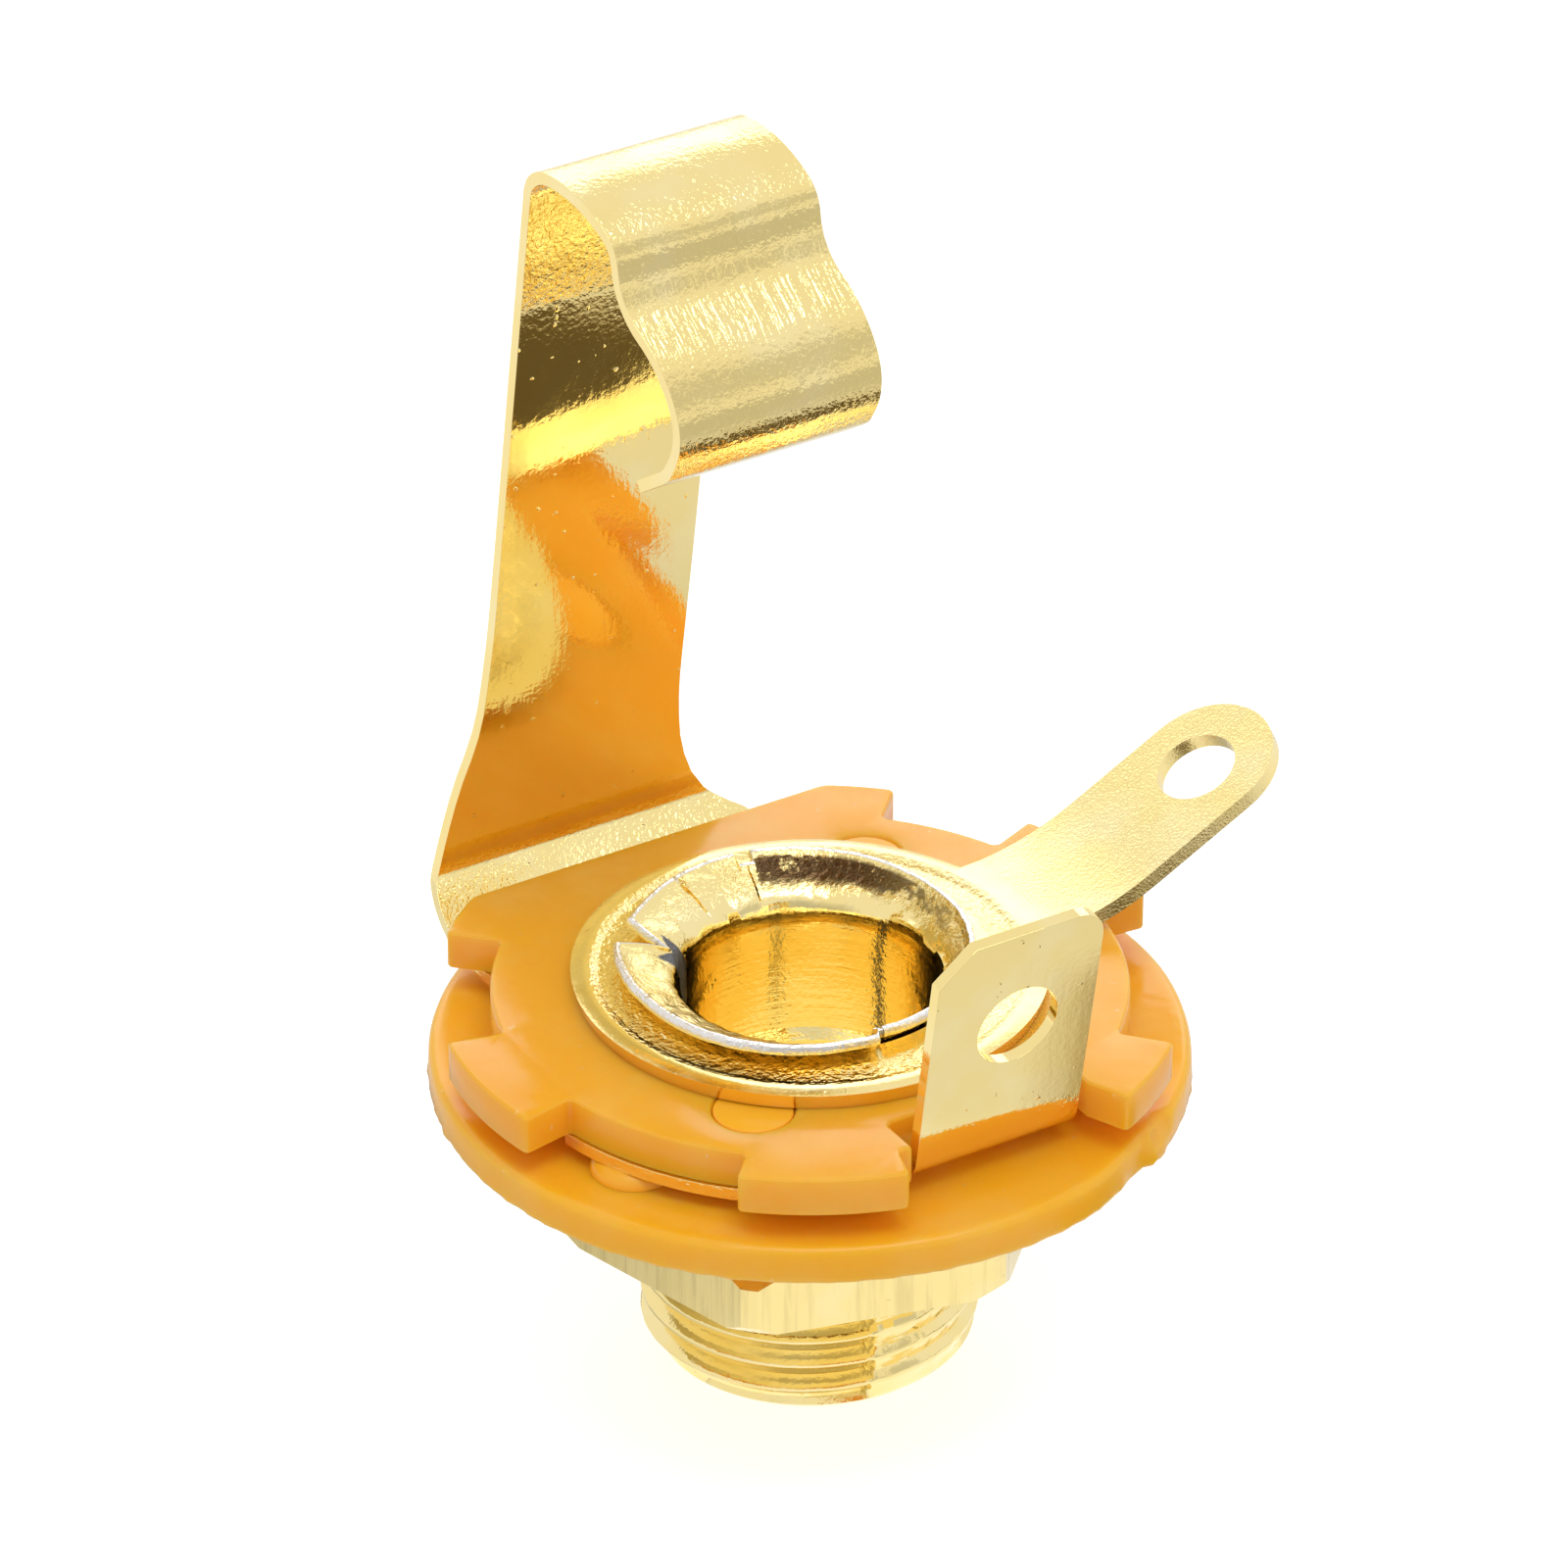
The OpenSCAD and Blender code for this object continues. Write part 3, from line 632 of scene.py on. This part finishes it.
def model_lower_disc(material):
    bm = bmesh.new()
    section = [(4.15, 7.9), (9.7, 7.9), (9.88, 7.92), (9.97, 7.98), (10.0, 8.08), (10.0, 8.4), (9.99, 8.74),
               (9.95, 8.86), (9.84, 8.94), (9.7, 8.96), (9.5, 8.95), (8.6, 8.94), (7.2, 8.94), (6.84, 8.96),
               (6.8, 9.02), (6.8, 9.3), (4.8, 9.3), (4.8, 9.65), (4.15, 9.65), (4.15, 7.9)]
    turn_on_lathe(bm, section, 300)
    for v in bm.verts:
        r, turn = polar(v.co)
        if r < 9.4:
            continue
        low = blend_between(8.4, 7.95, v.co.z)
        r += 0.025 * noise.noise(Vector((turn * 0.05, v.co.z, 2)))
        flash = max(0.0, noise.noise(Vector((turn * 0.35, 5, 0))) + 0.15)
        r += low * 0.09 * flash
        # the moulding gate's scar, and the rim cut back to one side of it
        r -= 0.24 * blend_between(-78, -61, turn) * blend_between(-59.5, -60.2, turn)
        scar = blend_between(-61, -58.5, turn) * blend_between(-51.5, -54, turn)
        if v.co.z > 8.5:
            r -= 0.22 * scar * blend_between(8.5, 8.8, v.co.z)
            r += scar * 0.16 * noise.noise(Vector((turn * 2.1, v.co.z * 9, 6)))
        v.co = spot(r, turn, v.co.z - (0.05 * scar * noise.noise(Vector((turn * 1.7, r * 8, 0))) if v.co.z > 8.8 else 0))
    knob = bm.verts.layers.float.new("knob")
    for turn in PIN_TURNS:
        add_knob(bm, knob, turn, PIN_FROM_AXIS, 1.05, 8.9, 10.72, 0.06)
    add_knob(bm, knob, -158, 7.6, 1.15, 8.9, 9.3, 0.3)
    return finish_piece(bm, "lower_insulating_disc", material, "lower_disc", crease=50)


# Upper wafer


def wafer_outline():
    outer, root = 9.85, 8.35

    def arc(radius, start, end):
        count = max(2, round(abs(end - start) / 2.5))
        return [spot(radius, start + (end - start) * k / count, WAFER_Z) for k in range(count + 1)]

    flat_turn = math.degrees(math.asin(8.2 / outer))
    points = arc(outer, -6, 22) + arc(root, 22, 45) + arc(outer, 45, flat_turn)
    points += arc(outer, 180 - flat_turn, 135) + arc(root, 135, 166) + arc(outer, 166, 191)
    points += arc(root, 191, 227) + arc(9.45, 227, 254) + arc(root, 254, 256.8)
    points += [Vector((-1.9, -6.8, WAFER_Z)), Vector((3.5, -6.8, WAFER_Z)), Vector((3.5, -7.86, WAFER_Z))]
    points += arc(outer, 294, 311) + arc(root, 311, 354)
    return points


def model_upper_wafer(material):
    thickness, rounding = 1.1, 0.13
    bm = bmesh.new()
    outline = line_of(bm, wafer_outline(), closed=True)
    face = bmesh.ops.contextual_create(bm, geom=outline)["faces"][0]
    corners = []
    for corner in face.loops:
        one = corner.vert.co - corner.link_loop_prev.vert.co
        two = corner.link_loop_next.vert.co - corner.vert.co
        if one.angle(two) > 0.5:
            corners.append(corner.vert)
    bmesh.ops.bevel(bm, geom=corners, offset=0.16, segments=3, profile=0.5, affect="VERTICES",
                    clamp_overlap=True, material=-1)
    bmesh.ops.delete(bm, geom=bm.faces[:], context="FACES_ONLY")
    edges = bm.edges[:]
    edges += ring_of(bm, (0, 0, WAFER_Z), 4.15, 96)
    for turn in PIN_TURNS:
        edges += ring_of(bm, spot(PIN_FROM_AXIS, turn, WAFER_Z), 1.06, 40)
    under = fill_sheet(bm, edges)
    made = bmesh.ops.extrude_face_region(bm, geom=under, use_keep_orig=True)["geom"]
    top = [g for g in made if isinstance(g, bmesh.types.BMFace)]
    bmesh.ops.translate(bm, vec=(0, 0, thickness - rounding), verts=list({v for f in top for v in f.verts}))
    for v in {v for f in under for v in f.verts}:
        v.co.z += rounding * 0.6
    bmesh.ops.recalc_face_normals(bm, faces=bm.faces)
    for share, rise in ((0.15, 0.5), (0.35, 0.35), (0.5, 0.15)):
        for faces, scale in ((top, 1.0), (under, 0.6)):
            bmesh.ops.inset_region(bm, faces=faces, thickness=rounding * share * scale, depth=rounding * rise * scale,
                                   use_even_offset=True, use_boundary=True)
    # a bevel under the straight edge clears the arm's bend
    for v in bm.verts:
        if v.co.z < WAFER_Z + 0.4 and v.co.y > 7.15:
            v.co.z = max(v.co.z, WAFER_Z + 0.43 * (v.co.y - 7.15) / 1.05)
    return finish_piece(bm, "toothed_upper_wafer", material, "upper_wafer", crease=28)


# Tip contact

# The strip's left and right edges, as (height, place along X)
STRIP_LEFT = [(9.0, -6.2), (10.9, -6.2), (11.3, -6.12), (11.94, -5.97), (12.67, -5.78), (13.61, -5.5), (14.3, -5.24),
              (14.83, -5.02), (15.68, -4.78), (16.85, -4.6), (18.0, -4.46), (20.0, -4.28), (30.9, -3.41)]
STRIP_RIGHT = [(9.0, 3.35), (10.3, 3.35), (10.73, 2.82), (11.18, 2.28), (11.71, 1.86), (12.28, 1.58), (12.97, 1.38),
               (13.62, 1.29), (14.89, 1.27), (16.7, 1.42), (20.0, 1.72), (30.9, 2.61)]
FOOT_Y = 7.2
TAB_FOOT_Y = -7.05


def walk_along(path, start, height, step=0.07):
    """Fine points (forward, up, heading) along a bent strip: (length,) runs straight, (radius, angle) bends."""
    marks = []
    for piece in path:
        if len(piece) == 1:
            marks.append((piece[0], 0.0))
        else:
            marks.append((abs(math.radians(piece[1])) * piece[0], math.copysign(1 / piece[0], piece[1])))
    total = sum(length for length, _ in marks)
    count = round(total / step)
    ds = total / count

    def curvature(s):
        for length, k in marks:
            if s < length:
                return k
            s -= length
        return 0.0

    def eased(s):
        spread = 0.18
        taps = [(-1, 1), (-0.5, 2), (0, 3), (0.5, 2), (1, 1)]
        return sum(w * curvature(min(total, max(0, s + t * spread))) for t, w in taps) / 9

    forward, up, heading = start, height, 0.0
    points = [(forward, up, heading)]
    for i in range(count):
        bend = eased((i + 0.5) * ds)
        heading += bend * ds / 2
        forward += ds * math.cos(heading)
        up += ds * math.sin(heading)
        heading += bend * ds / 2
        points.append((forward, up, heading))
    # straight runs need few rows
    kept = [points[0]]
    for i in range(1, count):
        if abs(points[i][2] - kept[-1][2]) > math.radians(2.2) or abs(points[i + 1][2] - points[i][2]) > 1e-3 and \
                abs(points[i][2] - points[i - 1][2]) < 1e-4 or math.dist(points[i][:2], kept[-1][:2]) > 0.6:
            kept.append(points[i])
    kept.append(points[-1])
    return kept


def draw_row(bm, row, place):
    """Draws a row of edges on by one row; place gives each point's new position from its share of the width."""
    order = sorted({v for e in row for v in e.verts}, key=lambda v: v.co.x)
    low, high = order[0].co.x, order[-1].co.x
    shares = {v.index: (v.co.x - low) / (high - low) for v in order}
    made = bmesh.ops.extrude_edge_only(bm, edges=row)["geom"]
    new = sorted((g for g in made if isinstance(g, bmesh.types.BMVert)), key=lambda v: v.co.x)
    for v, share in zip(new, sorted(shares.values())):
        v.co = place(share)
    chosen = set(new)
    return [g for g in made if isinstance(g, bmesh.types.BMEdge)
            and g.verts[0] in chosen and g.verts[1] in chosen]


def strip_edges_at(height, forward, over_top):
    if not over_top:
        return smooth_table(STRIP_LEFT, height), smooth_table(STRIP_RIGHT, height)
    lean = math.tan(math.radians(6)) * (8.1 - forward)
    return -3.41 + lean, 2.61 + lean


def model_tip_contact(material):
    bm = bmesh.new()
    middle = CONTACT_Z + SHEET / 2
    ring_r = 7.8
    # the plate's edge shows below the wafer at the front left
    shown_r = 8.42
    columns = 14

    def arc(start, end):
        count = max(2, round(abs(end - start) / 3))
        return [spot(ring_r, start + (end - start) * k / count, middle) for k in range(1, count)]

    left_at, right_at = -6.2, 3.35
    tab_left, tab_right = -1.65, 3.25
    root_row = [Vector((left_at + (right_at - left_at) * k / columns, FOOT_Y, middle)) for k in range(columns + 1)]
    tab_row = [Vector((tab_left + (tab_right - tab_left) * k / 8, TAB_FOOT_Y, middle)) for k in range(9)]
    left_meet = math.degrees(math.acos(left_at / ring_r))
    right_meet = math.degrees(math.asin(7.0 / ring_r))
    points = root_row[::-1] + [Vector((left_at, ring_r * math.sin(math.radians(left_meet)), middle))]
    points += arc(left_meet, 190) + [spot(shown_r, 190 + 5 * k, middle) for k in range(13)]
    points += [spot(ring_r, 252, middle), spot(ring_r, 255.9, middle)]
    points += [Vector((-1.9, -6.8, middle)), Vector((-1.65, -6.8, middle))]
    points += tab_row
    points += [Vector((3.25, -6.8, middle)), Vector((3.5, -6.8, middle)), Vector((3.5, -6.97, middle))]
    points += arc(296.7, 360 + right_meet - 0.3) + [Vector((right_at, 6.98, middle))]
    outline = line_of(bm, points, closed=True)
    edges = list(outline) + ring_of(bm, (0, 0, middle), 4.95, 72)
    for turn in PIN_TURNS:
        edges += ring_of(bm, spot(PIN_FROM_AXIS, turn, middle), 1.1, 32)
    root = [e for e in outline if all(abs(v.co.y - FOOT_Y) < 1e-4 for v in e.verts)]
    tab = [e for e in outline if all(abs(v.co.y - TAB_FOOT_Y) < 1e-4 for v in e.verts)]
    fill_sheet(bm, edges)

    # the spring arm, over the top and down into the catch
    arm_path = [(1.775, 92), (19.6,), (1.0, 83), (3.8, 39), (0.9, 53), (1.9, -58), (3.2, 38), (1.7, 52),
                (0.5,), (0.35, 28), (1.3,)]
    row = root
    passed_top = False
    for forward, up, heading in walk_along(arm_path, FOOT_Y, middle)[1:]:
        if heading > math.radians(120):
            passed_top = True
        left, right = strip_edges_at(up, forward, passed_top)
        row = draw_row(bm, row, lambda s, l=left, r=right, y=forward, z=up: Vector((l + (r - l) * s, y, z)))

    # the solder tab, bent up on the other side
    row = tab
    lean = math.radians(10)
    for forward, up, heading in walk_along([(0.6, 80)], -TAB_FOOT_Y, middle, 0.035)[1:]:
        row = draw_row(bm, row, lambda s, y=forward, z=up: Vector((tab_left + (tab_right - tab_left) * s, -y, z)))
    foot = Vector((0, -forward, up))

    def on_tab(x, z):
        return Vector((x, foot.y - (z - foot.z) * math.tan(lean), z))

    top, cut, bow = 16.75, 1.0, 0.85
    corner = [on_tab(tab_right - bow + bow * math.cos(math.radians(a)), top - bow + bow * math.sin(math.radians(a)))
              for a in range(0, 91, 10)]
    ordered = sorted({v for e in row for v in e.verts}, key=lambda v: v.co.x)
    chain = [bm.verts.new(p) for p in corner + [on_tab(tab_left + cut, top), on_tab(tab_left, top - cut)]]
    loop = [ordered[-1]] + chain + [ordered[0]]
    edges = row + [bm.edges.new(pair) for pair in zip(loop, loop[1:])]
    edges += ring_of(bm, on_tab(0.95, 13.7), 1.2, 48, Matrix.Rotation(math.radians(90) + lean, 4, "X"))
    fill_sheet(bm, edges)
    contact = finish_piece(bm, "tip_contact_sheet", material, "tip_contact", crease=60)
    give_thickness(contact, SHEET)
    round_edges(contact, 0.07, 2, 50)
    return contact


# Sleeve lug


def model_sleeve_lug(material):
    bm = bmesh.new()
    thickness = 0.45
    middle = LUG_Z + thickness / 2
    half = 2.0
    section = [(4.2, 0), (4.9, 0), (5.0, -0.01), (5.1, -0.03), (5.55, -0.03), (5.65, -0.01), (5.72, 0.03),
               (5.85, 0.06), (6.0, 0.05), (6.2, 0.0)]
    edges = line_of(bm, [(r, 0, middle + rise) for r, rise in section])
    verts = {v for e in edges for v in e.verts}
    bmesh.ops.spin(bm, geom=list(verts) + edges, cent=(0, 0, 0), axis=(0, 0, 1), angle=math.tau, steps=180, use_merge=True)
    bmesh.ops.remove_doubles(bm, verts=bm.verts, dist=1e-4)
    for side in (-half, half):
        bmesh.ops.bisect_plane(bm, geom=bm.verts[:] + bm.edges[:] + bm.faces[:], dist=1e-5,
                               plane_co=(0, side, 0), plane_no=(0, 1, 0))
    row = [e for e in bm.edges if e.is_boundary and all(
        v.co.x > 0 and abs(v.co.y) < half + 1e-3 and polar(v.co)[0] > 6.0 for v in e.verts)]
    rise = math.radians(27)
    start = walk_along([(8.0, 27), (0.3,)], 5.75, middle, 0.2)
    for forward, up, heading in start:
        if forward < 6.45:
            continue
        order = sorted({v for e in row for v in e.verts}, key=lambda v: v.co.y)
        across = [v.co.y for v in order]
        made = bmesh.ops.extrude_edge_only(bm, edges=row)["geom"]
        new = sorted((g for g in made if isinstance(g, bmesh.types.BMVert)), key=lambda v: v.co.y)
        for v, y in zip(new, across):
            v.co = Vector((forward, y, up))
        chosen = set(new)
        row = [g for g in made if isinstance(g, bmesh.types.BMEdge) and g.verts[0] in chosen and g.verts[1] in chosen]
    end = Vector((forward, 0, up))

    def on_lug(x, y):
        return Vector((x, y, end.z + (x - end.x) * math.tan(rise)))

    order = sorted({v for e in row for v in e.verts}, key=lambda v: v.co.y)
    tip = [on_lug(12.3 + half * math.cos(rise) * math.cos(math.radians(a)), half * math.sin(math.radians(a)))
           for a in range(90, -91, -6)]
    chain = [bm.verts.new(p) for p in tip]
    loop = [order[-1]] + chain + [order[0]]
    edges = row + [bm.edges.new(pair) for pair in zip(loop, loop[1:])]
    edges += ring_of(bm, on_lug(12.1, 0), 1.1, 48, Matrix.Rotation(-rise, 4, "Y"))
    fill_sheet(bm, edges)
    lug = finish_piece(bm, "sleeve_solder_lug", material, "sleeve_lug", crease=60)
    give_thickness(lug, thickness)
    round_edges(lug, 0.1, 3, 50)
    return lug


# Floor, backdrop and light


def floor_as_mirrored(n):
    """What the metal sees of the floor: a white table with painted light and shade, its glow set by direction and
    distance, a painted pool of light under the piece and a painted shadow as a warm dark patch to the front right.
    """
    x, y, _ = n.axes()
    away = n.math("MAXIMUM", n.from_axis(), 0.001 * MM)
    front = n.math("DIVIDE", n.math("MULTIPLY", y, -1), away)
    # painted light and shade: the floor's glow is brighter towards the front and set by distance from the piece
    near = n.ramp(front, -1.0, 1.0, 0.45, 1.08)
    middle = n.ramp(away, 16 * MM, 22 * MM)
    beyond = n.ramp(front, 0.2, 0.9, 1.0, 0.62)
    far = n.ramp(away, 30 * MM, 45 * MM)
    strength = n.math("ADD", n.math("MULTIPLY", near, n.math("SUBTRACT", 1, middle)), n.math("MULTIPLY", middle, 0.86))
    strength = n.math("ADD", n.math("MULTIPLY", strength, n.math("SUBTRACT", 1, far)), n.math("MULTIPLY", beyond, far))
    # painted light: the floor under the piece, which lies in its shadow, is made brighter
    under = n.ramp(away, 6.0 * MM, 4.0 * MM)
    strength = n.math("ADD", n.math("MULTIPLY", strength, n.math("SUBTRACT", 1, under)), n.math("MULTIPLY", under, 1.2))
    # painted shadow: a warm-tinted dark patch to the front right
    past = n.math("ADD", n.math("MULTIPLY", x, 0.486), n.math("MULTIPLY", y, 0.874))
    before = n.math("ADD", n.math("MULTIPLY", x, -0.866), n.math("MULTIPLY", y, -0.5))
    dark = n.math("MULTIPLY", n.ramp(past, 2.5 * MM, -1.5 * MM), n.ramp(before, 2 * MM, -3 * MM))
    dark = n.math("MULTIPLY", dark, n.band(away, 17 * MM, 28 * MM, 4 * MM))
    strength = n.math("MULTIPLY", strength, n.math("SUBTRACT", 1, n.math("MULTIPLY", dark, 0.85)))
    return strength, n.mix(dark, (1, 1, 1, 1), (1, 0.74, 0.34, 1))


def set_stage():
    bpy.ops.mesh.primitive_plane_add(size=3, location=(0, 0, -0.00005))
    floor = bpy.context.object
    floor.name = "floor"
    material = bpy.data.materials.new("white floor")
    n = Nodes(material)
    n.shader.inputs["Base Color"].default_value = (0.8, 0.8, 0.8, 1)
    n.shader.inputs["Roughness"].default_value = 0.8
    n.shader.inputs["Specular IOR Level"].default_value = 0.1
    path = n.add("ShaderNodeLightPath")
    n.shader.inputs["Emission Color"].default_value = (1, 1, 1, 1)
    n.join(n.math("MULTIPLY", path.outputs["Is Camera Ray"], 0.6), n.shader.inputs["Emission Strength"])
    strength, tint = floor_as_mirrored(n)
    mirrored = n.add("ShaderNodeEmission")
    n.join(tint, mirrored.inputs["Color"])
    n.join(strength, mirrored.inputs["Strength"])
    either = n.add("ShaderNodeMixShader")
    n.join(n.math("MAXIMUM", path.outputs["Is Glossy Ray"], path.outputs["Is Transmission Ray"]), either.inputs[0])
    n.join(n.shader.outputs[0], either.inputs[1])
    n.join(mirrored.outputs[0], either.inputs[2])
    n.join(either.outputs[0], n.tree.nodes["Material Output"].inputs["Surface"])
    floor.data.materials.append(material)


def side_dimmed(tree, direction, start, end, value):
    """1 all round, falling to value towards one direction of the room."""
    place = tree.nodes.new("ShaderNodeTexCoord")
    facing = tree.nodes.new("ShaderNodeVectorMath")
    facing.operation = "DOT_PRODUCT"
    facing.inputs[1].default_value = Vector(direction).normalized()
    tree.links.new(place.outputs["Generated"], facing.inputs[0])
    share = tree.nodes.new("ShaderNodeMapRange")
    share.interpolation_type = "SMOOTHSTEP"
    share.inputs["From Min"].default_value = start
    share.inputs["From Max"].default_value = end
    share.inputs["To Min"].default_value = 1.0
    share.inputs["To Max"].default_value = value
    tree.links.new(facing.outputs["Value"], share.inputs["Value"])
    return share.outputs["Result"]


def light_room():
    world = bpy.data.worlds.new("studio")
    scene.world = world
    world.use_nodes = True
    tree = world.node_tree
    nodes, links = tree.nodes, tree.links
    nodes.clear()
    path = nodes.new("ShaderNodeLightPath")

    def calculate(operation, a, b):
        node = nodes.new("ShaderNodeMath")
        node.operation = operation
        links.new(a, node.inputs[0])
        links.new(b, node.inputs[1])
        return node.outputs[0]

    def glow(strength):
        node = nodes.new("ShaderNodeBackground")
        if isinstance(strength, bpy.types.NodeSocket):
            links.new(strength, node.inputs["Strength"])
        else:
            node.inputs["Strength"].default_value = strength
        return node.outputs[0]

    def either(choice, first, second):
        node = nodes.new("ShaderNodeMixShader")
        links.new(choice, node.inputs[0])
        links.new(first, node.inputs[1])
        links.new(second, node.inputs[2])
        return node.outputs[0]

    # seen in the metal: the white backdrop, a dimmer room on the camera's side and a gap between the lamps
    brighter = nodes.new("ShaderNodeValue")
    brighter.outputs[0].default_value = 1.18
    room = calculate("MULTIPLY", side_dimmed(tree, (-0.5, -0.84, -0.1), 0.6, 0.95, 0.6),
                     side_dimmed(tree, (0.446, -0.80, 0.40), 0.95, 0.992, 0.72))
    room = calculate("MULTIPLY", room, brighter.outputs[0])
    mirrored = calculate("MAXIMUM", path.outputs["Is Glossy Ray"], path.outputs["Is Transmission Ray"])
    out = nodes.new("ShaderNodeOutputWorld")
    surface = either(path.outputs["Is Camera Ray"], either(mirrored, glow(0.92), glow(room)), glow(1.0))
    links.new(surface, out.inputs["Surface"])

    def softbox(name, turn, tilt, distance, width, height, radiance):
        data = bpy.data.lights.new(name, "AREA")
        data.shape = "RECTANGLE"
        data.size = width
        data.size_y = height
        data.energy = radiance * math.pi * width * height
        lamp = bpy.data.objects.new(name, data)
        lift = math.radians(tilt)
        aim = Vector((0, 0, 0.012))
        lamp.location = aim + distance * Vector((math.cos(lift) * math.cos(math.radians(turn)),
                                                 math.cos(lift) * math.sin(math.radians(turn)), math.sin(lift)))
        lamp.rotation_euler = (aim - lamp.location).to_track_quat("-Z", "Y").to_euler()
        scene.collection.objects.link(lamp)

    softbox("back softbox", 60, 29, 0.36, 0.34, 0.18, 1.35)
    softbox("top softbox", -90, 76, 0.32, 0.2, 0.15, 2.6)
    scene.view_settings.view_transform = "Standard"


aim_camera()
set_stage()
light_room()
model_bushing(bushing_gold())
model_nut(nut_gold())
model_lower_disc(orange_plastic("disc plastic", DISC_ORANGE, 0.0))
model_upper_wafer(orange_plastic("wafer plastic", WAFER_ORANGE, 5.0))
model_tip_contact(contact_gold())
model_sleeve_lug(lug_gold())
